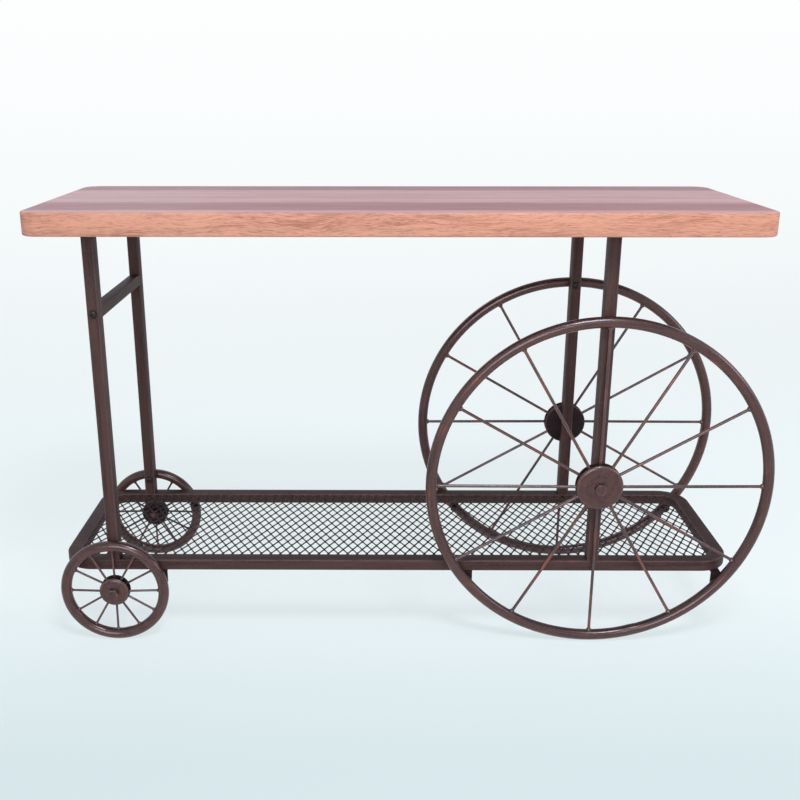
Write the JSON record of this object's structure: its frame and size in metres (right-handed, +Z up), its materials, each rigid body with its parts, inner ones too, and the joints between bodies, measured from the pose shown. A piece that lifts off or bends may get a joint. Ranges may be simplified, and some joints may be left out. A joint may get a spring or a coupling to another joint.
{
  "type": "cart sofa table",
  "caption": "Console table in the form of a push cart: wood top on slim steel legs, a mesh shelf, large spoked wheels at one end and small ones at the other.",
  "frame": {"origin": "On the floor, under the middle of the whole table's length and depth.", "axes": "+X along the length towards the large wheels, +Y to the rear, +Z up."},
  "size_m": [1.25, 0.41, 0.772],
  "materials": {
    "wood_top": "satin, lengthwise brown planks",
    "wood_edge": "satin, lengthwise warm oak grain",
    "frame_bronze": "antique bronze with worn edges",
    "wheel_bronze": "antique bronze with copper rub marks",
    "hub_bronze": "antique bronze, cast look",
    "mesh_bronze": "antique bronze, thin strands",
    "black_bolt": "black oxide"
  },
  "bodies": {
    "root": {"big_hub_bolts": "hub_bronze", "big_rim_bolts": "black_bolt", "big_tab_bolts": "black_bolt", "edge_band": "wood_edge", "front_big_hub_barrel": "hub_bronze", "front_big_hub_inner_disc": "hub_bronze", "front_big_hub_outer_disc": "hub_bronze", "front_big_rim": "wheel_bronze", "front_big_spokes": "wheel_bronze", "front_big_wheel_left_tab": "frame_bronze", "front_big_wheel_right_tab": "frame_bronze", "front_left_leg": "frame_bronze", "front_left_leg_plate": "frame_bronze", "front_right_leg": "frame_bronze", "front_right_leg_plate": "frame_bronze", "front_shelf_rail": "frame_bronze", "front_small_hub_barrel": "hub_bronze", "front_small_hub_inner_disc": "hub_bronze", "front_small_hub_outer_disc": "hub_bronze", "front_small_rim": "wheel_bronze", "front_small_spokes": "wheel_bronze", "front_small_wheel_right_tab": "frame_bronze", "handle_bar": "frame_bronze", "handle_bolts": "black_bolt", "mesh_lower_strands": "mesh_bronze", "mesh_upper_strands": "mesh_bronze", "rear_big_hub_barrel": "hub_bronze", "rear_big_hub_inner_disc": "hub_bronze", "rear_big_hub_outer_disc": "hub_bronze", "rear_big_rim": "wheel_bronze", "rear_big_spokes": "wheel_bronze", "rear_big_wheel_left_tab": "frame_bronze", "rear_big_wheel_right_tab": "frame_bronze", "rear_left_leg": "frame_bronze", "rear_left_leg_plate": "frame_bronze", "rear_right_leg": "frame_bronze", "rear_right_leg_plate": "frame_bronze", "rear_shelf_rail": "frame_bronze", "rear_small_hub_barrel": "hub_bronze", "rear_small_hub_inner_disc": "hub_bronze", "rear_small_hub_outer_disc": "hub_bronze", "rear_small_rim": "wheel_bronze", "rear_small_spokes": "wheel_bronze", "rear_small_wheel_right_tab": "frame_bronze", "shelf_left_end": "frame_bronze", "shelf_right_end": "frame_bronze", "small_hub_bolts": "hub_bronze", "small_hub_nuts": "hub_bronze", "small_rim_bolts": "black_bolt", "small_tab_bolts": "black_bolt", "table_top": "wood_top", "top_screws": "black_bolt"}
  },
  "joints": []
}
